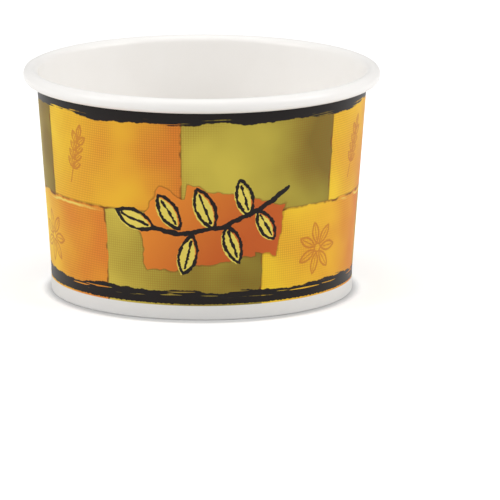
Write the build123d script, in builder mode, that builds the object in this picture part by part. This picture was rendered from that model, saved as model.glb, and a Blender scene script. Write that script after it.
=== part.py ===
"""Squat round paper food container, open at the top.

Two pieces of coated paperboard make it. The sidewall is one blank, wrapped round and
sealed along a lap, with its top edge rolled outwards into the rim and its bottom edge
folded up inside. The bottom disc is a shallow inverted pan whose skirt is pinched in
that fold. Millimetres, +Z up. The origin is the middle of the foot, on the table.
"""
import os
from math import asin, atan2, cos, degrees, hypot, sin, sqrt, tan

from build123d import *

# Outer sizes of the container
rim_diameter = 98.0
container_height = 62.0
foot_diameter = 82.8
foot_band_height = 5.5

# Paperboard, and the film of melted coating between sealed faces
wall_board = 0.40
disc_board = 0.35
seal_film = 0.03

# Rim, rolled outwards, with the board's edge inside the roll. It is drawn in short flats
roll_diameter = 4.0
roll_gap = 0.10
roll_inner_turn = 100.0
flats_per_quarter = 3
inner_flats = 2

# Foot, where the sidewall's edge is folded up inside round the skirt of the disc
recess_depth = 6.0
disc_bevel = 0.6
tuck_clearance = 0.6
skirt_clearance = 0.15

# Lap seam: the angle of its middle from +X about +Z, the overlap, and the ramp beside it
lap_azimuth = 170.0
lap_width = 7.0
lap_ramp = 3.0
lap_end_clearance = 0.3
edge_line_width = 0.5
edge_line_depth = 0.15

# Radii and heights of the sidewall's board, at its middle and at the foot's faces
half_board = wall_board / 2
foot_radius = foot_diameter / 2
coated_foot_radius = foot_radius - wall_board
band_radius = foot_radius - half_board
slot_width = disc_board + 2 * seal_film
tuck_radius = coated_foot_radius - slot_width - half_board
roll_radius = roll_diameter / 2 - half_board
inner_roll_radius = roll_radius - wall_board - roll_gap

# A bevelled bend of even thickness is cut this much less inside than outside
bevel_step = 2 - sqrt(2)
fold_bevel = bevel_step * wall_board
inner_disc_bevel = disc_bevel - bevel_step * disc_board
tuck_top = recess_depth - inner_disc_bevel - tuck_clearance

# The sloping wall runs from the foot band to a tangent of the roll
roll_centre_radius = (rim_diameter - roll_diameter) / 2
roll_centre_height = container_height - roll_diameter / 2
across = roll_centre_radius - band_radius
up = roll_centre_height - foot_band_height
wall_angle = atan2(up, across) + asin(roll_radius / hypot(across, up))
roll_start = 90 + degrees(wall_angle)


def wall_radius(height):
    """Radius of the middle of the board at a height on the foot band or the wall."""
    return band_radius + max(0, height - foot_band_height) / tan(wall_angle)


def turn(length):
    """Degrees that a length takes up round the wall at half height."""
    return degrees(length / wall_radius(container_height / 2))


def upright_plane(azimuth):
    """Plane through the container's axis whose x points out at an angle from +X."""
    return Plane.XZ.rotated((0, 0, azimuth))


def is_proud(edge):
    """Whether the middle of an edge lies outside the wall's printed face."""
    middle = edge @ 0.5
    return hypot(middle.X, middle.Y) > wall_radius(middle.Z) + wall_board


def in_flats(arc, count):
    """Points that divide an arc into equal flats."""
    return [arc @ (i / count) for i in range(count + 1)]


def rolled_face(offset):
    """Points along one face of the rolled board, offset from its middle, to the cut edge."""
    centre = (roll_centre_radius, roll_centre_height)
    inner_centre = (roll_centre_radius, roll_centre_height - roll_radius + inner_roll_radius)
    rising = CenterArc(centre, roll_radius + offset, roll_start, 90 - roll_start, mode=Mode.PRIVATE)
    falling = CenterArc(centre, roll_radius + offset, 90, -180, mode=Mode.PRIVATE)
    tucked = CenterArc(
        inner_centre, inner_roll_radius + offset, -90, -roll_inner_turn, mode=Mode.PRIVATE
    )
    return (
        in_flats(rising, flats_per_quarter)
        + in_flats(falling, 2 * flats_per_quarter)[1:]
        + in_flats(tucked, inner_flats)[1:]
    )


# Lap, where the blank's outer edge lies over its inner edge. The strip is rooted at the
# middle of the wall and stands one board proud, with a cut edge on one side and a ramp on
# the other. It is cut short of the fold and of the roll.
lap_depth = half_board + wall_board
lap_bottom = fold_bevel + lap_end_clearance
lap_top = container_height - roll_diameter - lap_end_clearance
lap_heights = [lap_bottom, foot_band_height, lap_top]
ramp_depth = wall_board + half_board / 2
ramp_length = lap_ramp * ramp_depth / wall_board
cut_edge_azimuth = lap_azimuth - turn(lap_width) / 2
ramp_foot_azimuth = lap_azimuth + turn(lap_width) / 2 + turn(ramp_length)

with BuildPart() as lap:
    with BuildSketch(upright_plane(cut_edge_azimuth)):
        with BuildLine():
            Polyline(
                *[(wall_radius(height), height) for height in lap_heights],
                *[(wall_radius(height) + lap_depth, height) for height in reversed(lap_heights)],
                close=True,
            )
        make_face()
    revolve(axis=Axis.Z, revolution_arc=ramp_foot_azimuth - cut_edge_azimuth)
    along_lap = Axis((0, 0, 0), -upright_plane(ramp_foot_azimuth).z_dir)
    ramp_end = lap.faces().filter_by(GeomType.PLANE).sort_by(along_lap)[-1]
    chamfer(ramp_end.edges().filter_by(is_proud), ramp_depth, ramp_length, reference=ramp_end)

# Sidewall, drawn up its printed face, round the rim's cut edge and back down its coated face
bend_shift = half_board / tan((wall_angle + asin(1)) / 2)

with BuildPart() as sidewall:
    with BuildSketch(Plane.XZ) as section:
        with BuildLine():
            Polyline(
                (tuck_radius - half_board, tuck_top),
                (tuck_radius - half_board, 0),
                (foot_radius, 0),
                (foot_radius, foot_band_height - bend_shift),
                *rolled_face(-half_board),
                *reversed(rolled_face(half_board)),
                (coated_foot_radius, foot_band_height + bend_shift),
                (coated_foot_radius, wall_board),
                (tuck_radius + half_board, wall_board),
                (tuck_radius + half_board, tuck_top),
                close=True,
            )
        make_face()
        chamfer(section.vertices().group_by(Axis.Y)[0], fold_bevel)
    revolve(axis=Axis.Z)
    add(lap.part)

    # The blank's inner edge shows as a fine line on the coated face, under the ramp
    edge_line_bottom = recess_depth + disc_board
    with BuildSketch(upright_plane(lap_azimuth + turn(lap_width) / 2)):
        with BuildLine():
            Line(
                (wall_radius(edge_line_bottom) - half_board, edge_line_bottom),
                (wall_radius(lap_top) - half_board, lap_top),
            )
        trace(line_width=2 * edge_line_depth)
    revolve(axis=Axis.Z, revolution_arc=turn(edge_line_width), mode=Mode.SUBTRACT)

sidewall.part.label = "sidewall"

# Bottom disc, an inverted pan whose skirt stands in the fold
disc_radius = coated_foot_radius - seal_film
disc_top = recess_depth + disc_board
skirt_bottom = wall_board + skirt_clearance

with BuildPart() as bottom_disc:
    with BuildSketch(Plane.XZ):
        with BuildLine():
            Polyline(
                (0, recess_depth),
                (disc_radius - disc_board - inner_disc_bevel, recess_depth),
                (disc_radius - disc_board, recess_depth - inner_disc_bevel),
                (disc_radius - disc_board, skirt_bottom),
                (disc_radius, skirt_bottom),
                (disc_radius, disc_top - disc_bevel),
                (disc_radius - disc_bevel, disc_top),
                (0, disc_top),
                close=True,
            )
        make_face()
    revolve(axis=Axis.Z)

bottom_disc.part.label = "bottom_disc"

os.makedirs("parts", exist_ok=True)
export_step(sidewall.part, "parts/sidewall.step")
export_step(bottom_disc.part, "parts/bottom_disc.step")
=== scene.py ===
"""Squat paper food container on a white floor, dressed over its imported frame. Metres."""
from math import asin, atan2, cos, degrees, hypot, pi, radians, sin

import bpy
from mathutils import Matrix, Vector


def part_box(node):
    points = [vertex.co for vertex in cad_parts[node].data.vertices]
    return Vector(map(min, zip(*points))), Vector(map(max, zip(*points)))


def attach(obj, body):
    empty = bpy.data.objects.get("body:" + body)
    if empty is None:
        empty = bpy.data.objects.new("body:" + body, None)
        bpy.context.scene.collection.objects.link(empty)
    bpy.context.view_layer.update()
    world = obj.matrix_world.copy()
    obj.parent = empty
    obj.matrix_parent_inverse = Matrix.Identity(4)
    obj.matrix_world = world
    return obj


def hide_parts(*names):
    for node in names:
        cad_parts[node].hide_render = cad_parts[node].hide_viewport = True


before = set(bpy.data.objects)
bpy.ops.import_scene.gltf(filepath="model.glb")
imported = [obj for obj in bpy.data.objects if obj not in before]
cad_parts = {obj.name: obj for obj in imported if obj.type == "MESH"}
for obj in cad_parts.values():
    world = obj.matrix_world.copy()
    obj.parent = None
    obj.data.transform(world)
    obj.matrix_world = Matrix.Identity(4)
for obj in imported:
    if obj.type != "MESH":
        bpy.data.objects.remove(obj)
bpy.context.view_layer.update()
mm = 0.001

# Camera. The container was photographed from its front, slightly above, through a long lens,
# and it stands above and to the left of the middle of the picture.
aim = Vector((0, 0, 30 * mm))
camera_distance = 1.88
camera_elevation = radians(11.8)
camera_data = bpy.data.cameras.new("camera")
camera_data.sensor_width = 36
camera_data.lens = 492.4
camera_data.shift_x = 0.0964
camera_data.shift_y = -0.1394
camera_data.clip_end = 20
camera = bpy.data.objects.new("camera", camera_data)
bpy.context.collection.objects.link(camera)
camera.location = aim + camera_distance * Vector((0, -cos(camera_elevation), sin(camera_elevation)))
camera.rotation_euler = (pi / 2 - camera_elevation, 0, 0)
bpy.context.scene.camera = camera
bpy.context.scene.view_settings.view_transform = "Standard"

# Studio. A white floor that keeps the container's soft shadow, a white surround, one broad
# lamp overhead and one on each side. The floor's glow is seen but lights nothing. Close round
# the foot the floor's colour is painted darker and its glow is taken away: a painted contact
# shadow, laid over the real one.
floor_size = 8
floor_shades = (0.66, 0.82)
floor_glow = 0.42
shadow_radii = (41.0 * mm, 44.6 * mm)
shadow_stretch = (1, 0.95, 1)
surround_light = 0.47


def seen_directly(tree, other_ray):
    """1 for the rays that come from the camera, and for those of one other kind."""
    light_path = tree.nodes.new("ShaderNodeLightPath")
    seen = tree.nodes.new("ShaderNodeMath")
    seen.operation = "MAXIMUM"
    tree.links.new(light_path.outputs["Is Camera Ray"], seen.inputs[0])
    tree.links.new(light_path.outputs[other_ray], seen.inputs[1])
    return seen.outputs["Value"]


bpy.ops.object.select_all(action="DESELECT")
bpy.ops.mesh.primitive_plane_add(size=floor_size)
floor = bpy.context.object
floor.name = "floor"
floor_paint = bpy.data.materials.new("floor_paint")
floor_paint.use_nodes = True
nodes = floor_paint.node_tree.nodes
links = floor_paint.node_tree.links
floor_shader = nodes["Principled BSDF"]
floor_shader.inputs["Roughness"].default_value = 0.9
floor_shader.inputs["Specular IOR Level"].default_value = 0.1
floor_shader.inputs["Emission Color"].default_value = (1, 1, 1, 1)
stretched = nodes.new("ShaderNodeVectorMath")
stretched.operation = "MULTIPLY"
stretched.inputs[1].default_value = shadow_stretch
links.new(nodes.new("ShaderNodeTexCoord").outputs["Object"], stretched.inputs[0])
from_middle = nodes.new("ShaderNodeVectorMath")
from_middle.operation = "LENGTH"
links.new(stretched.outputs["Vector"], from_middle.inputs[0])
past_shadow = nodes.new("ShaderNodeMapRange")
past_shadow.interpolation_type = "SMOOTHSTEP"
past_shadow.inputs["From Min"].default_value = shadow_radii[0]
past_shadow.inputs["From Max"].default_value = shadow_radii[1]
links.new(from_middle.outputs["Value"], past_shadow.inputs["Value"])
# Painted contact shadow: the floor's colour is darker close round the foot
floor_shade = nodes.new("ShaderNodeMapRange")
floor_shade.inputs["To Min"].default_value = floor_shades[0]
floor_shade.inputs["To Max"].default_value = floor_shades[1]
links.new(past_shadow.outputs["Result"], floor_shade.inputs["Value"])
links.new(floor_shade.outputs["Result"], floor_shader.inputs["Base Color"])
# Painted contact shadow: the floor has no glow close round the foot
open_glow = nodes.new("ShaderNodeMath")
open_glow.operation = "MULTIPLY"
open_glow.inputs[1].default_value = floor_glow
links.new(past_shadow.outputs["Result"], open_glow.inputs[0])
seen_glow = nodes.new("ShaderNodeMath")
seen_glow.operation = "MULTIPLY"
links.new(seen_directly(floor_paint.node_tree, "Is Glossy Ray"), seen_glow.inputs[0])
links.new(open_glow.outputs["Value"], seen_glow.inputs[1])
links.new(seen_glow.outputs["Value"], floor_shader.inputs["Emission Strength"])
floor.data.materials.append(floor_paint)

world = bpy.data.worlds.new("surround")
bpy.context.scene.world = world
world.use_nodes = True
nodes = world.node_tree.nodes
links = world.node_tree.links
surround = nodes["Background"]
surround.inputs["Color"].default_value = (1, 1, 1, 1)
level = nodes.new("ShaderNodeMapRange")
level.inputs["To Min"].default_value = surround_light
level.inputs["To Max"].default_value = 1.0
links.new(seen_directly(world.node_tree, "Is Transmission Ray"), level.inputs["Value"])
links.new(level.outputs["Result"], surround.inputs["Strength"])

for name, place, size, power in (
    ("overhead", (-0.1, -0.1, 1.0), 0.9, 2.5),
    ("left_side", (-1.1, -0.4, 0.7), 0.8, 6.4),
    ("right_side", (1.1, -0.3, 0.7), 0.8, 7.0),
):
    lamp_data = bpy.data.lights.new(name, "AREA")
    lamp_data.size = size
    lamp_data.energy = power
    lamp = bpy.data.objects.new(name, lamp_data)
    bpy.context.collection.objects.link(lamp)
    lamp.location = place
    lamp.rotation_euler = (aim - Vector(place)).to_track_quat("-Z", "Y").to_euler()

# Sidewall. One blank of coated board: its lower edge is folded up inside the foot, its upper
# edge is rolled outwards into the rim, and its two ends are sealed in a lap. It is drawn as a
# thin sheet along the middle of the board, ring by ring, and then given its thickness.
rim_radius, _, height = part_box("sidewall")[1]
board = 0.40 * mm
disc_board = 0.35 * mm
seal_film = 0.03 * mm
foot_radius = 41.4 * mm
foot_band = 5.5 * mm
band_bend = 0.4 * mm
band_bend_shift = 0.03 * mm
tuck_top = 5.0 * mm
fold_radius = 0.3 * mm
half_roll = 2.0 * mm
roll_gap = 0.1 * mm
inner_roll_turn = radians(150)
lap_below_rim = 3.6 * mm
fold_steps = 4
roll_steps = 24
roll_radius = half_roll - board / 2
inner_roll_radius = roll_radius - board - roll_gap
band_radius = foot_radius - board / 2
tuck_radius = band_radius - board - disc_board - 2 * seal_film
roll_centre = (rim_radius - half_roll, height - half_roll)
across = roll_centre[0] - band_radius
up = roll_centre[1] - foot_band
wall_angle = atan2(up, across) + asin(roll_radius / hypot(across, up))
wall_top = (
    roll_centre[0] - roll_radius * sin(wall_angle),
    roll_centre[1] + roll_radius * cos(wall_angle),
)


def arc(centre, radius, start, sweep, steps):
    """Points of an arc after its first, as radii and heights."""
    angles = [start + sweep * (i + 1) / steps for i in range(steps)]
    return [(centre[0] + radius * cos(a), centre[1] + radius * sin(a)) for a in angles]


def run(start, end, steps):
    """Points of a straight run after its first."""
    shares = [(i + 1) / steps for i in range(steps)]
    return [(start[0] + (end[0] - start[0]) * s, start[1] + (end[1] - start[1]) * s) for s in shares]


fold_height = board / 2 + fold_radius
inner_centre = (roll_centre[0], roll_centre[1] - roll_radius + inner_roll_radius)
lap_top = height - lap_below_rim
section = [(tuck_radius, tuck_top)]
section += run(section[-1], (tuck_radius, fold_height), 5)
section += arc((tuck_radius + fold_radius, fold_height), fold_radius, pi, pi / 2, fold_steps)
fold_ring = len(section) - 1
section += arc((band_radius - fold_radius, fold_height), fold_radius, -pi / 2, pi / 2, fold_steps)
foot_ring = len(section) - 1
section += run(section[-1], (band_radius, foot_band - band_bend), 2)
section += run(section[-1], (band_radius + band_bend_shift, foot_band + band_bend), 1)
up_wall = (lap_top - section[-1][1]) / (wall_top[1] - section[-1][1])
lap_end = (section[-1][0] + (wall_top[0] - section[-1][0]) * up_wall, lap_top)
section += run(section[-1], lap_end, 18)
lap_ring = len(section) - 1
section += run(section[-1], wall_top, 1)
wall_ring = len(section) - 1
section += arc(roll_centre, roll_radius, pi / 2 + wall_angle, -pi - wall_angle, roll_steps)
section += arc(inner_centre, inner_roll_radius, -pi / 2, -inner_roll_turn, 10)


def turn_section(name, section, columns):
    """A sheet turned round the axis from the points of its section, as an object."""
    first = section[0]
    bpy.ops.object.select_all(action="DESELECT")
    bpy.ops.mesh.primitive_circle_add(vertices=columns, radius=first[0], location=(0, 0, 0))
    sheet = bpy.context.object
    sheet.name = name
    bpy.ops.object.mode_set(mode="EDIT")
    bpy.ops.mesh.select_all(action="SELECT")
    bpy.ops.transform.translate(value=(0, 0, first[1]))
    for here, there in zip(section, section[1:]):
        climb = (0, 0, there[1] - here[1])
        bpy.ops.mesh.extrude_edges_move(TRANSFORM_OT_translate={"value": climb})
        grow = there[0] / here[0]
        bpy.ops.transform.resize(value=(grow, grow, 1), center_override=(0, 0, 0))
    bpy.ops.object.mode_set(mode="OBJECT")
    return sheet


columns = 360
sidewall = turn_section("sidewall_board", section, columns)

# The knurling that the crimping wheel pressed into the tucked edge, on every third column,
# and the slight lump that the lap makes in the rolled rim.
knurl_depth = 0.2 * mm
knurl_columns = 3
knurl_rings = 4
lump_height = 0.1 * mm
lump_half_width = 6
lap_azimuth = 170
for index, vertex in enumerate(sidewall.data.vertices):
    ring = index // columns
    if 0 < ring <= knurl_rings and index % knurl_columns == 0:
        vertex.co.xy *= 1 - knurl_depth / tuck_radius
    radius = hypot(vertex.co.x, vertex.co.y)
    from_centre = Vector((radius - roll_centre[0], vertex.co.z - roll_centre[1]))
    if wall_ring < ring <= wall_ring + roll_steps:
        azimuth = degrees(atan2(vertex.co.y, vertex.co.x))
        off_lap = (azimuth - lap_azimuth) / lump_half_width
        shift = from_centre.normalized() * lump_height * max(0, 1 - off_lap**4)
        vertex.co.xy *= 1 + shift.x / radius
        vertex.co.z += shift.y

# The blank's own map: millimetres along the board from the middle of the front, and height,
# which counts downwards past the fold. It runs on through the lap, where the print on the
# outer end comes round a little out of step with the print beside it. Angles are in degrees
# from +X.
mean_radius = 43.4
misprint = (0.7, 0.3)
front_azimuth = 270
round_wall = 2 * pi * mean_radius
lap_start = 165
ramp_start = 174
lap_finish = 179
map_seam = ramp_start - 1
reach = [0.0]
for here, there in zip(section, section[1:]):
    reach.append(reach[-1] + hypot(there[0] - here[0], there[1] - here[1]))
sidewall.data.uv_layers.new(name="blank")
sidewall.data.uv_layers.new(name="OFBake")
blank = sidewall.data.uv_layers["blank"]
bake = sidewall.data.uv_layers["OFBake"]
for face in sidewall.data.polygons:
    ring = face.index // columns
    middle = degrees(atan2(face.center.y, face.center.x))
    turns = 360 if middle < map_seam else 0
    for loop in face.loop_indices:
        corner = sidewall.data.loops[loop].vertex_index
        place = sidewall.data.vertices[corner].co
        azimuth = degrees(atan2(place.y, place.x))
        azimuth += 360 * round((middle - azimuth) / 360) + turns
        below = -1 if ring < fold_ring else 1
        drift = (azimuth - lap_azimuth) / 360
        along = radians(azimuth - front_azimuth) * mean_radius + misprint[0] * drift
        blank.data[loop].uv = (along, below * place.z / mm + misprint[1] * drift)
        bake.data[loop].uv = ((azimuth - map_seam) / 360, reach[corner // columns] / reach[-1])
    face.select = lap_start < middle < lap_finish and foot_ring <= ring < lap_ring

# The outer end of the blank, lying over the inner end. It stands one board out, and has a cut
# edge on one side and a ramp down to the single board on the other.
bpy.ops.object.mode_set(mode="EDIT")
bpy.ops.mesh.select_mode(type="FACE")
bpy.ops.mesh.duplicate()
bpy.ops.object.mode_set(mode="OBJECT")
blank = sidewall.data.uv_layers["blank"]
bake = sidewall.data.uv_layers["OFBake"]
lap_flag = 2
lap_lift = 1.02
ramp_drop = 0.96
whole_turn = (round_wall + misprint[0], misprint[1])
for face in sidewall.data.polygons:
    if face.select:
        for loop in face.loop_indices:
            along, above = blank.data[loop].uv
            before_joint = 1 if along > round_wall / 2 else 0
            along -= before_joint * whole_turn[0]
            above -= before_joint * whole_turn[1]
            blank.data[loop].uv = (along, above)
            bake.data[loop].uv.x += lap_flag - before_joint
for vertex in sidewall.data.vertices:
    if vertex.select:
        azimuth = degrees(atan2(vertex.co.y, vertex.co.x)) % 360
        ramp = max(0, azimuth - ramp_start) / (lap_finish - ramp_start)
        radius = hypot(vertex.co.x, vertex.co.y)
        vertex.co.xy *= 1 + board * (lap_lift - ramp_drop * ramp) / radius

sharp_angle = radians(35)


def thicken(sheet, thickness, finishes):
    """Give a sheet its thickness, with a finish for its front, its back and its cut edges."""
    for name in finishes:
        sheet.data.materials.append(bpy.data.materials.new(name))
    modifier = sheet.modifiers.new("board", "SOLIDIFY")
    modifier.thickness = thickness
    modifier.offset = 0
    modifier.use_even_offset = True
    modifier.material_offset = 1
    modifier.material_offset_rim = 2
    bpy.ops.object.select_all(action="DESELECT")
    sheet.select_set(True)
    bpy.context.view_layer.objects.active = sheet
    bpy.ops.object.modifier_apply(modifier="board")


sheet_corners = len(sidewall.data.vertices)
thicken(sidewall, board, ("printed_face", "coated_face", "cut_edge"))

# The map that the finishes are baked on. The printed wall takes most of it, in four quarters,
# and the lap, the coated face, the tucked edge, the roll's inside and the cut edges the rest.
# Each part is a start and a length of the map, across or up it.
whole_share = (0, 1)
all_across = (0.01, 0.98)
quarter_across = ((0.01, 0.44), (0.46, 0.44))
quarter_up = ((0.01, 0.405), (0.425, 0.405))
lap_across = (0.915, 0.07)
lap_up = ((0.01, 0.405), (0.43, 0.405))
coated_up = (0.84, 0.11)
tucked_up = (0.955, 0.014)
roll_up = (0.973, 0.006)
cut_edge_up = (0.983, 0.987)
lap_edge_up = (0.991, 0.995)
cut_edge_strip = 0.002
lap_end_zoom = 10
wall_share = (reach[foot_ring] / reach[-1], reach[wall_ring] / reach[-1])
lap_share = ((lap_start - map_seam) / 360, (lap_finish - map_seam) / 360)
bake = sidewall.data.uv_layers["OFBake"]


def into(share, limits, part):
    """A share between two limits, laid out along a part of the map."""
    return part[0] + part[1] * (share - limits[0]) / (limits[1] - limits[0])


for face in sidewall.data.polygons:
    shares = [tuple(bake.data[loop].uv) for loop in face.loop_indices]
    round_share = sum(share[0] for share in shares) / len(shares)
    up_share = sum(share[1] for share in shares) / len(shares)
    on_lap = round_share > lap_flag - 0.5
    upright = abs(shares[0][1] - shares[2][1]) > 0.001
    quarter = min(3, int(round_share * 4))
    for loop, (turned, climbed) in zip(face.loop_indices, shares):
        side = 1 if sidewall.data.loops[loop].vertex_index < sheet_corners else 0
        if face.material_index == 2 and on_lap:
            strip = lap_edge_up[0 if round_share < lap_flag or up_share < 0.5 else 1]
            spread = climbed if upright else (turned - lap_flag) * lap_end_zoom + 0.5
            place = (into(spread, whole_share, all_across), strip + cut_edge_strip * side)
        elif face.material_index == 2:
            strip = cut_edge_up[0 if up_share < 0.5 else 1]
            place = (into(turned, whole_share, all_across), strip + cut_edge_strip * side)
        elif on_lap:
            place = (
                into(turned - lap_flag, lap_share, lap_across),
                into(climbed, wall_share, lap_up[face.material_index]),
            )
        elif face.material_index == 1:
            place = (into(turned, whole_share, all_across), into(climbed, whole_share, coated_up))
        elif up_share < wall_share[0]:
            tucked_share = (0, wall_share[0])
            place = (into(turned, whole_share, all_across), into(climbed, tucked_share, tucked_up))
        elif up_share > wall_share[1]:
            roll_share = (wall_share[1], 1)
            place = (into(turned, whole_share, all_across), into(climbed, roll_share, roll_up))
        else:
            quarter_share = (quarter / 4, (quarter + 1) / 4)
            place = (
                into(turned, quarter_share, quarter_across[quarter % 2]),
                into(climbed, wall_share, quarter_up[quarter // 2]),
            )
        bake.data[loop].uv = place

# The blank's inner edge shows on the coated face as a groove, deepest and sharp at the edge,
# which runs out under the ramp
edge_line_depth = 0.22 * mm
edge_line_reach = 5
edge_line_bottom = 6.4 * mm
slope = (wall_top[0] - band_radius) / (wall_top[1] - foot_band)
for vertex in sidewall.data.vertices:
    radius = hypot(vertex.co.x, vertex.co.y)
    past_edge = degrees(atan2(vertex.co.y, vertex.co.x)) % 360 - ramp_start
    middle_radius = band_radius + (vertex.co.z - foot_band) * slope
    on_inner_face = radius < middle_radius - 0.4 * board
    on_line = 0.5 < past_edge < edge_line_reach - 0.5
    if on_inner_face and on_line and edge_line_bottom < vertex.co.z < lap_top:
        left = (edge_line_reach - past_edge) / (edge_line_reach - 1)
        vertex.co.xy *= 1 + edge_line_depth * left / radius
bpy.ops.object.shade_smooth_by_angle(angle=sharp_angle)


def feed(tree, socket, value):
    """Join a socket to another node's output, or set its own value."""
    if isinstance(value, bpy.types.NodeSocket):
        tree.links.new(value, socket)
    else:
        socket.default_value = value


def calc(tree, operation, *values, clamp=False):
    """A number worked out from others by one Math node."""
    node = tree.nodes.new("ShaderNodeMath")
    node.operation = operation
    node.use_clamp = clamp
    for socket, value in zip(node.inputs, values):
        feed(tree, socket, value)
    return node.outputs["Value"]


def move(tree, operation, *values):
    """A place, or a length of one, worked out by one Vector Math node."""
    node = tree.nodes.new("ShaderNodeVectorMath")
    node.operation = operation
    for socket, value in zip(node.inputs, values):
        feed(tree, socket, value)
    return node.outputs["Value" if operation in ("LENGTH", "DOT_PRODUCT") else "Vector"]


def spot(tree, along, above):
    """A place on the blank from its distance along the board and its height."""
    node = tree.nodes.new("ShaderNodeCombineXYZ")
    feed(tree, node.inputs["X"], along)
    feed(tree, node.inputs["Y"], above)
    return node.outputs["Vector"]


def split(tree, place):
    """The distance along the board and the height of a place on the blank."""
    node = tree.nodes.new("ShaderNodeSeparateXYZ")
    feed(tree, node.inputs["Vector"], place)
    return node.outputs["X"], node.outputs["Y"]


def lean(tree, place, angle):
    """A place as it is measured along a direction that leans by an angle."""
    node = tree.nodes.new("ShaderNodeVectorRotate")
    node.rotation_type = "Z_AXIS"
    node.invert = True
    feed(tree, node.inputs["Vector"], place)
    feed(tree, node.inputs["Angle"], angle)
    return node.outputs["Vector"]


def rise(tree, value, start, end):
    """A mask that rises smoothly from 0 to 1 between two values, or falls if they are swapped."""
    node = tree.nodes.new("ShaderNodeMapRange")
    node.interpolation_type = "SMOOTHSTEP"
    flip = end < start
    feed(tree, node.inputs["Value"], value)
    node.inputs["From Min"].default_value = min(start, end)
    node.inputs["From Max"].default_value = max(start, end)
    node.inputs["To Min"].default_value = 1 if flip else 0
    node.inputs["To Max"].default_value = 0 if flip else 1
    return node.outputs["Result"]


def mottle(tree, place, pitch, detail=2.0, flat=True):
    """Soft blotches of about one size, from 0 to 1."""
    node = tree.nodes.new("ShaderNodeTexNoise")
    node.noise_dimensions = "2D" if flat else "3D"
    feed(tree, node.inputs["Vector"], place)
    node.inputs["Scale"].default_value = 1 / pitch
    node.inputs["Detail"].default_value = detail
    return node.outputs["Fac"]


def paint(red, green, blue):
    """A colour as a node holds it, from the shade that is seen, 0 to 255."""
    shades = [(shade / 255 + 0.055) / 1.055 for shade in (red, green, blue)]
    return (*(shade**2.4 for shade in shades), 1)


def cover(tree, mask, under, over):
    """One colour laid over another by a mask."""
    node = tree.nodes.new("ShaderNodeMix")
    node.data_type = "RGBA"
    feed(tree, node.inputs[0], mask)
    feed(tree, node.inputs[6], under)
    feed(tree, node.inputs[7], over)
    return node.outputs[2]


def new_group(name, inputs, outputs):
    """A node group with named sockets, its inputs and its outputs."""
    tree = bpy.data.node_groups.new(name, "ShaderNodeTree")
    for in_out, sockets in (("INPUT", inputs), ("OUTPUT", outputs)):
        for label, kind in sockets.items():
            tree.interface.new_socket(name=label, in_out=in_out, socket_type="NodeSocket" + kind)
    return tree, tree.nodes.new("NodeGroupInput").outputs, tree.nodes.new("NodeGroupOutput").inputs


def use_group(tree, group, **values):
    """A group placed in a material or in another group, and its outputs."""
    node = tree.nodes.new("ShaderNodeGroup")
    node.node_tree = group
    for label, value in values.items():
        feed(tree, node.inputs[label], value)
    return node.outputs


# The brushed edge of an ink band: ragged along its length, with dry streaks near the edge.
# Each wave of the edge has a length along the board and a sway across it.
edge_waves = ((18.0, 3.2), (4.6, 1.1), (1.1, 0.5))
streak_size = (14.0, 0.55)
brush_band, given, result = new_group(
    "brush_band", {"Place": "Vector", "Depth": "Float", "Streaks": "Float"}, {"Ink": "Float"}
)
along, above = split(brush_band, given["Place"])
ragged = given["Depth"]
for pitch, sway in edge_waves:
    blotch = mottle(brush_band, spot(brush_band, along, pitch), pitch, detail=1.0)
    lift = calc(brush_band, "MULTIPLY_ADD", blotch, sway, -sway / 2)
    ragged = calc(brush_band, "ADD", ragged, lift)
solid = rise(brush_band, ragged, -0.12, 0.12)
stretched = spot(
    brush_band,
    calc(brush_band, "DIVIDE", along, streak_size[0]),
    calc(brush_band, "DIVIDE", above, streak_size[1]),
)
dry = rise(brush_band, mottle(brush_band, stretched, pitch=1.0, detail=1.0), 0.66, 0.69)
streaky = rise(brush_band, calc(brush_band, "SUBTRACT", ragged, given["Streaks"]), 0.5, -0.5)
dry = calc(brush_band, "MULTIPLY", dry, streaky)
feed(brush_band, result["Ink"], calc(brush_band, "SUBTRACT", solid, dry, clamp=True))

# A leaf drawn in ink: how far a place lies inside the leaf, and its outline with a midrib
leaf, given, result = new_group(
    "leaf",
    {"Place": "Vector", "Centre": "Vector", "Angle": "Float", "Length": "Float", "Width": "Float"},
    {"Inside": "Float", "Ink": "Float"},
)
from_centre = move(leaf, "SUBTRACT", given["Place"], given["Centre"])
along, beside = split(leaf, lean(leaf, from_centre, given["Angle"]))
long_square = calc(leaf, "MULTIPLY", given["Length"], given["Length"])
wide_square = calc(leaf, "MULTIPLY", given["Width"], given["Width"])
bow = calc(leaf, "DIVIDE", calc(leaf, "ADD", long_square, wide_square), given["Width"])
bow = calc(leaf, "MULTIPLY", bow, 0.5)
off_side = calc(leaf, "SUBTRACT", bow, given["Width"])
off_side = calc(leaf, "ADD", calc(leaf, "ABSOLUTE", beside), off_side)
from_bow = calc(leaf, "SUBTRACT", move(leaf, "LENGTH", spot(leaf, along, off_side)), bow)
past_rib = calc(leaf, "MULTIPLY_ADD", given["Length"], -0.7, calc(leaf, "ABSOLUTE", along))
past_rib = calc(leaf, "MAXIMUM", past_rib, 0.0)
from_rib = calc(leaf, "ADD", move(leaf, "LENGTH", spot(leaf, past_rib, beside)), 0.12)
feed(leaf, result["Inside"], from_bow)
feed(leaf, result["Ink"], calc(leaf, "MINIMUM", calc(leaf, "ABSOLUTE", from_bow), from_rib))

# A straight stroke of the brush: how far a place lies from it
stroke, given, result = new_group(
    "stroke", {"Place": "Vector", "Start": "Vector", "End": "Vector"}, {"Ink": "Float"}
)
from_start = move(stroke, "SUBTRACT", given["Place"], given["Start"])
to_end = move(stroke, "SUBTRACT", given["End"], given["Start"])
reached = move(stroke, "DOT_PRODUCT", from_start, to_end)
share = calc(stroke, "DIVIDE", reached, move(stroke, "DOT_PRODUCT", to_end, to_end), clamp=True)
nearest = move(stroke, "MULTIPLY", to_end, spot(stroke, share, share))
feed(stroke, result["Ink"], move(stroke, "LENGTH", move(stroke, "SUBTRACT", from_start, nearest)))

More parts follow.
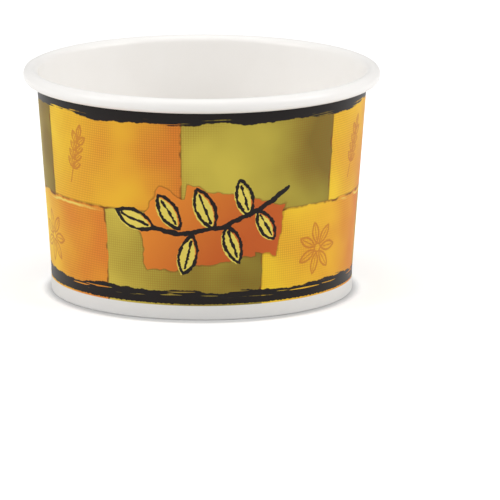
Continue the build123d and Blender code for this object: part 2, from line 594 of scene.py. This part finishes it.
# A torn patch of colour: how far a place lies outside a leaning oblong
patch, given, result = new_group(
    "patch",
    {"Place": "Vector", "Centre": "Vector", "Angle": "Float", "Length": "Float", "Width": "Float"},
    {"Outside": "Float"},
)
from_centre = move(patch, "SUBTRACT", given["Place"], given["Centre"])
along, beside = split(patch, lean(patch, from_centre, given["Angle"]))
past_end = calc(patch, "SUBTRACT", calc(patch, "ABSOLUTE", along), given["Length"])
past_side = calc(patch, "SUBTRACT", calc(patch, "ABSOLUTE", beside), given["Width"])
feed(patch, result["Outside"], calc(patch, "MAXIMUM", past_end, past_side))

# The board itself: fine fibres, and slow changes of shade
fibre_size = 0.35 * mm
shade_size = 9 * mm
board_fibre, given, result = new_group(
    "board_fibre", {"Place": "Vector"}, {"Height": "Float", "Shade": "Float"}
)
fibres = mottle(board_fibre, given["Place"], fibre_size, detail=3.0, flat=False)
shades = mottle(board_fibre, given["Place"], shade_size, flat=False)
feed(board_fibre, result["Height"], fibres)
feed(board_fibre, result["Shade"], shades)


def start_finish(material, roughness, coat_weight, coat_roughness, specular):
    """The tree of a finish, its shader, and the board's fibre on it."""
    material.use_nodes = True
    tree = material.node_tree
    shader = tree.nodes["Principled BSDF"]
    shader.inputs["Roughness"].default_value = roughness
    shader.inputs["Coat Weight"].default_value = coat_weight
    shader.inputs["Coat Roughness"].default_value = coat_roughness
    shader.inputs["Specular IOR Level"].default_value = specular
    where = tree.nodes.new("ShaderNodeTexCoord").outputs["Object"]
    return tree, shader, use_group(tree, board_fibre, Place=where)


def blank_place(tree):
    """The place on the blank's own map, in millimetres along the board and up it."""
    node = tree.nodes.new("ShaderNodeUVMap")
    node.uv_map = "blank"
    return node.outputs["UV"]


def raise_fibre(tree, shader, height, depth):
    """Bump of a depth in metres on a finish."""
    bump = tree.nodes.new("ShaderNodeBump")
    bump.inputs["Strength"].default_value = 0.5
    bump.inputs["Distance"].default_value = depth
    feed(tree, bump.inputs["Height"], height)
    feed(tree, shader.inputs["Normal"], bump.outputs["Normal"])


# Printed face, three times round the board. Blocks of amber and olive in running bond, a
# sprig of leaves brushed in ink over a torn orange patch, and two faint stamps beside it.
print_roughness = 0.52
ambers = (paint(247, 206, 52), paint(230, 138, 50))
olives = (paint(210, 190, 76), paint(128, 112, 42))
screen_brown = paint(150, 70, 20)
joint_brown = paint(120, 70, 25)
joint_yellow = paint(236, 208, 100)
stamp_brown = paint(186, 92, 44)
patch_oranges = (paint(234, 142, 50), paint(200, 96, 42))
patch_brown = paint(120, 60, 25)
leaf_yellow = paint(232, 212, 96)
ink_black = paint(30, 25, 24)
bare_whites = (paint(236, 235, 232), paint(230, 229, 227))
printed_face = sidewall.data.materials["printed_face"]
tree, shader, fibre = start_finish(
    printed_face, print_roughness, coat_weight=0.0, coat_roughness=0.35, specular=0.15
)
on_blank = blank_place(tree)
along, above = split(tree, on_blank)
repeat = round_wall / 3
block_length = repeat / 2
wrapped = calc(tree, "WRAP", along, repeat / 2, -repeat / 2)
place = spot(tree, wrapped, above)
sway = mottle(tree, on_blank, pitch=5.0)
shake = mottle(tree, on_blank, pitch=0.8, detail=1.0)

row_height = 30.0
first_joint = -50.0
joint_waves = 1.6
row_joint = row_height + joint_waves / 2
wavy_above = calc(tree, "MULTIPLY_ADD", sway, joint_waves, above)
wavy_along = calc(tree, "MULTIPLY_ADD", sway, joint_waves, along)
upper = rise(tree, wavy_above, row_joint - 0.1, row_joint + 0.1)
row_shift = calc(tree, "MULTIPLY_ADD", upper, block_length / 2, -first_joint - block_length / 2)
blocks = calc(tree, "DIVIDE", calc(tree, "ADD", wavy_along, row_shift), block_length)
block = calc(tree, "FLOOR", blocks)
across_block = calc(tree, "SUBTRACT", blocks, block)
odd_block = calc(tree, "ABSOLUTE", calc(tree, "MODULO", block, 2.0))
is_amber = calc(tree, "ABSOLUTE", calc(tree, "SUBTRACT", upper, odd_block))

cloud = mottle(tree, on_blank, pitch=26.0)
fade = calc(tree, "MULTIPLY_ADD", cloud, 1.1, calc(tree, "MULTIPLY_ADD", across_block, 0.9, -0.5))
fade = calc(tree, "MAXIMUM", calc(tree, "MINIMUM", fade, 1.0), 0.0)
amber = cover(tree, fade, *ambers)
olive = cover(tree, fade, *olives)
colour = cover(tree, is_amber, olive, amber)

# The fine grid of the screen it was printed through
screen_pitch = 0.66
screen_strength = 0.30
weave_along = calc(tree, "COSINE", calc(tree, "MULTIPLY", along, 2 * pi / screen_pitch))
weave_above = calc(tree, "COSINE", calc(tree, "MULTIPLY", above, 2 * pi / screen_pitch))
weave = calc(tree, "MAXIMUM", weave_along, weave_above)
weave_strength = calc(tree, "MULTIPLY", rise(tree, cloud, 0.3, 0.6), screen_strength)
weave = calc(tree, "MULTIPLY", rise(tree, weave, 0.2, 1.0), weave_strength)
colour = cover(tree, weave, colour, screen_brown)

# Soft brown lines where blocks meet, with a pale one below the row's joint here and there
to_joint = calc(tree, "MULTIPLY", calc(tree, "PINGPONG", blocks, 0.5), block_length)
to_row = calc(tree, "ABSOLUTE", calc(tree, "SUBTRACT", wavy_above, row_joint))
to_line = calc(tree, "MINIMUM", to_joint, to_row)
joint_line = calc(tree, "MULTIPLY", rise(tree, to_line, 0.55, 0.05), rise(tree, sway, 0.3, 0.7))
colour = cover(tree, joint_line, colour, joint_brown)
to_pale = calc(tree, "ABSOLUTE", calc(tree, "SUBTRACT", wavy_above, row_joint - 1.0))
pale_line = calc(tree, "MULTIPLY", rise(tree, to_pale, 0.5, 0.1), rise(tree, cloud, 0.5, 0.6))
colour = cover(tree, pale_line, colour, joint_yellow)

# Faint stamps: an ear of grain in the upper row and a flower in the lower one
stamp_line = 0.32
ear_foot = (-41.0, 35.0, 0)
ear_tip = (-36.0, 51.0, 0)
ear_lean = atan2(ear_tip[1] - ear_foot[1], ear_tip[0] - ear_foot[0])
ear_place = lean(tree, move(tree, "SUBTRACT", place, ear_foot), ear_lean)
up_ear, beside_ear = split(tree, ear_place)
grain_pitch = 2.4
middle_grain = 8.0
grain_row = calc(tree, "DIVIDE", calc(tree, "SUBTRACT", up_ear, middle_grain), grain_pitch)
grain_row = calc(tree, "ROUND", grain_row)
grain_row = calc(tree, "MAXIMUM", calc(tree, "MINIMUM", grain_row, 2.0), -1.0)
grain_foot = calc(tree, "MULTIPLY_ADD", grain_row, grain_pitch, middle_grain)
from_grain = calc(tree, "SUBTRACT", up_ear, grain_foot)
grain_place = spot(tree, from_grain, calc(tree, "ABSOLUTE", beside_ear))
grain_shape = {"Centre": (0.3, 1.35, 0), "Angle": radians(35), "Length": 1.8, "Width": 0.8}
grain = use_group(tree, leaf, Place=grain_place, **grain_shape)
awn_shape = {"Centre": (15.2, 0, 0), "Angle": 0.0, "Length": 2.0, "Width": 0.8}
awn = use_group(tree, leaf, Place=ear_place, **awn_shape)
stalk = use_group(tree, stroke, Place=place, Start=ear_foot, End=ear_tip)
stamp = calc(tree, "MINIMUM", grain["Ink"], awn["Ink"])
stamp = calc(tree, "MINIMUM", stamp, calc(tree, "ADD", stalk["Ink"], 0.1))

flower_centre = (36.5, 17.5, 0)
petals = 7
heart_radius = 1.2
around = move(tree, "SUBTRACT", place, flower_centre)
right, above_centre = split(tree, around)
angle = calc(tree, "ARCTAN2", above_centre, right)
angle = calc(tree, "WRAP", angle, pi / petals, -pi / petals)
from_middle = move(tree, "LENGTH", around)
up_petal = calc(tree, "MULTIPLY", from_middle, calc(tree, "COSINE", angle))
beside_petal = calc(tree, "MULTIPLY", from_middle, calc(tree, "SINE", angle))
petal_shape = {"Centre": (4.4, 0, 0), "Angle": 0.0, "Length": 2.9, "Width": 1.2}
petal = use_group(tree, leaf, Place=spot(tree, up_petal, beside_petal), **petal_shape)
heart = calc(tree, "ABSOLUTE", calc(tree, "SUBTRACT", from_middle, heart_radius))
stamp = calc(tree, "MINIMUM", stamp, calc(tree, "MINIMUM", petal["Ink"], heart))
stamp = calc(tree, "MULTIPLY_ADD", shake, 0.3, stamp)
stamp_ink = calc(tree, "MULTIPLY", rise(tree, stamp, stamp_line + 0.25, stamp_line), 0.6)
colour = cover(tree, stamp_ink, colour, stamp_brown)

# The torn patch, darker towards its lower right, with a brown shadow on its edge
patch_parts = (
    ((9.0, 27.5, 0), -12, 14.0, 7.0),
    ((-1.0, 21.5, 0), 8, 15.5, 6.0),
    ((-9.0, 28.0, 0), -28, 6.5, 7.0),
)
patch_tear = 3.0
outside = None
for centre, degrees_up, length, width in patch_parts:
    values = {"Centre": centre, "Angle": radians(degrees_up), "Length": length, "Width": width}
    part = use_group(tree, patch, Place=place, **values)["Outside"]
    outside = calc(tree, "MINIMUM", outside, part) if outside else part
torn = calc(tree, "MULTIPLY", calc(tree, "SUBTRACT", sway, 0.5), patch_tear)
outside = calc(tree, "ADD", outside, torn)
shadow = calc(tree, "MULTIPLY", rise(tree, outside, 0.7, 0.1), 0.55)
colour = cover(tree, shadow, colour, patch_brown)
lower_right = calc(tree, "ADD", wrapped, calc(tree, "MULTIPLY", above, -0.8))
patch_fade = rise(tree, lower_right, -44.0, -2.0)
patch_colour = cover(tree, patch_fade, *patch_oranges)
colour = cover(tree, rise(tree, outside, 0.15, 0.0), colour, patch_colour)

# The sprig: its leaves filled in pale yellow, a little off their outlines, then the ink
hand_shake = spot(tree, calc(tree, "MULTIPLY", shake, 0.5), calc(tree, "MULTIPLY", sway, 0.8))
shaken = move(tree, "ADD", place, hand_shake)
fill_shift = (0.6, 0.45, 0)
line_swell = 0.9
stem_width = 0.25
stem = ((25.0, 36.5, 0), (16.5, 31.0, 0), (6.0, 26.5, 0), (-6.0, 24.5, 0), (-13.0, 26.0, 0))
leaves = (
    ((18.6, 26.4, 0), -58, 4.8, 2.0),
    ((12.2, 34.4, 0), 106, 5.2, 2.2),
    ((9.0, 21.6, 0), -70, 5.4, 2.3),
    ((1.4, 31.6, 0), 112, 6.0, 2.5),
    ((-3.4, 18.8, 0), -104, 5.6, 2.4),
    ((-8.6, 30.6, 0), 122, 5.4, 2.3),
    ((-18.4, 28.0, 0), 160, 5.8, 2.4),
)
inside = None
ink = None
for centre, degrees_up, length, width in leaves:
    values = {"Centre": centre, "Angle": radians(degrees_up), "Length": length, "Width": width}
    filled = use_group(tree, leaf, Place=move(tree, "ADD", shaken, fill_shift), **values)["Inside"]
    drawn = use_group(tree, leaf, Place=shaken, **values)["Ink"]
    inside = calc(tree, "MINIMUM", inside, filled) if inside else filled
    ink = calc(tree, "MINIMUM", ink, drawn) if ink else drawn
for start, end in zip(stem, stem[1:]):
    drawn = use_group(tree, stroke, Place=shaken, Start=start, End=end)["Ink"]
    ink = calc(tree, "MINIMUM", ink, calc(tree, "SUBTRACT", drawn, stem_width))
colour = cover(tree, rise(tree, inside, 0.1, -0.1), colour, leaf_yellow)
swell = calc(tree, "SUBTRACT", mottle(tree, place, pitch=2.2), 0.5)
sprig_ink = rise(tree, calc(tree, "MULTIPLY_ADD", swell, line_swell, ink), 0.52, 0.38)

# The ink bands under the rim and above the foot, then the board left bare below the print
top_band = 54.5
low_band = (4.7, 8.1)
print_edge = 4.1
into_top = calc(tree, "SUBTRACT", above, top_band)
into_low = calc(tree, "SUBTRACT", low_band[1], above)
shaken_above = calc(tree, "MULTIPLY_ADD", shake, 0.5, above)
top_ink = use_group(tree, brush_band, Place=on_blank, Depth=into_top, Streaks=0.7)["Ink"]
low_ink = use_group(tree, brush_band, Place=on_blank, Depth=into_low, Streaks=1.7)["Ink"]
low_ink = calc(tree, "MULTIPLY", low_ink, rise(tree, shaken_above, low_band[0], low_band[0] + 0.1))
black = calc(tree, "MAXIMUM", calc(tree, "MAXIMUM", top_ink, low_ink), sprig_ink)
colour = cover(tree, black, colour, ink_black)
bare = rise(tree, above, print_edge, print_edge - 0.08)
colour = cover(tree, bare, colour, cover(tree, fibre["Shade"], *bare_whites))
feed(tree, shader.inputs["Base Color"], colour)
dull = calc(tree, "MULTIPLY_ADD", black, -0.12, print_roughness)
feed(tree, shader.inputs["Roughness"], calc(tree, "MULTIPLY_ADD", bare, 0.12, dull))
raise_fibre(tree, shader, fibre["Height"], depth=0.02 * mm)

coat_whites = (paint(252, 250, 247), paint(249, 246, 242))


def coat_white(material):
    """White board under a thin satin film: its tree, its shader and its colour."""
    tree, shader, fibre = start_finish(
        material, roughness=0.42, coat_weight=0.25, coat_roughness=0.22, specular=0.5
    )
    raise_fibre(tree, shader, fibre["Height"], depth=0.012 * mm)
    return tree, shader, cover(tree, fibre["Shade"], *coat_whites)


# Coated face, which is the inside of the container and the outside of the rolled rim, with a line
# where the blank's inner edge ends: the raw colour of its cut edge, with painted shade along it
tree, shader, colour = coat_white(sidewall.data.materials["coated_face"])
along, above = split(tree, blank_place(tree))
inner_edge = radians(ramp_start + 0.7 - front_azimuth) * mean_radius
line_bottom = edge_line_bottom / mm
line_top = height / mm - 1.0
to_edge = calc(tree, "ABSOLUTE", calc(tree, "SUBTRACT", along, inner_edge))
above_disc = rise(tree, above, line_bottom - 0.2, line_bottom + 0.2)
# Painted shade along the blank's inner edge, in the raw cut edge's own cream colour
raw_edge_and_shade_line = calc(tree, "MULTIPLY", rise(tree, to_edge, 0.3, 0.1), above_disc)
raw_edge_and_shade_line = calc(tree, "MULTIPLY", raw_edge_and_shade_line, rise(tree, above, line_top, line_top - 1.5))
raw_and_shade_cream = paint(222, 214, 200)
feed(tree, shader.inputs["Base Color"], cover(tree, raw_edge_and_shade_line, colour, raw_and_shade_cream))

# Cut edge: the raw middle of the board
raw_creams = (paint(236, 230, 218), paint(214, 205, 190))
cut_edge = sidewall.data.materials["cut_edge"]
tree, shader, fibre = start_finish(
    cut_edge, roughness=0.85, coat_weight=0.0, coat_roughness=0.5, specular=0.3
)
feed(tree, shader.inputs["Base Color"], cover(tree, fibre["Height"], *raw_creams))
raise_fibre(tree, shader, fibre["Height"], depth=0.05 * mm)

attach(sidewall, "root")
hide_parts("sidewall")

# Bottom disc. A disc of thinner board, pressed into a shallow inverted pan, whose skirt stands
# in the fold of the sidewall's foot. Its top is coated and its underside is plain board.
disc_low, disc_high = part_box("bottom_disc")
disc_columns = 180
hub_radius = 4 * mm
disc_middle = disc_high[2] - disc_board / 2
skirt_radius = disc_high[0] - disc_board / 2
bend_radius = 0.5 * mm
bend_centre = (skirt_radius - bend_radius, disc_middle - bend_radius)
disc_section = [(skirt_radius, disc_low[2])]
disc_section += run(disc_section[-1], (skirt_radius, bend_centre[1]), 3)
disc_section += arc(bend_centre, bend_radius, 0, pi / 2, 6)
disc_section += run(disc_section[-1], (hub_radius, disc_middle), 8)
disc = turn_section("bottom_disc_board", disc_section, disc_columns)
bpy.ops.object.mode_set(mode="EDIT")
bpy.ops.mesh.edge_face_add()
bpy.ops.object.mode_set(mode="OBJECT")
thicken(disc, disc_board, ("disc_top", "disc_underside", "disc_edge"))
bpy.ops.object.shade_smooth_by_angle(angle=sharp_angle)

tree, shader, colour = coat_white(disc.data.materials["disc_top"])
feed(tree, shader.inputs["Base Color"], colour)
plain_whites = (paint(238, 235, 228), paint(228, 224, 215))
for name in ("disc_underside", "disc_edge"):
    tree, shader, fibre = start_finish(
        disc.data.materials[name], roughness=0.8, coat_weight=0.0, coat_roughness=0.5, specular=0.35
    )
    feed(tree, shader.inputs["Base Color"], cover(tree, fibre["Shade"], *plain_whites))
    raise_fibre(tree, shader, fibre["Height"], depth=0.03 * mm)

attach(disc, "root")
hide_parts("bottom_disc")
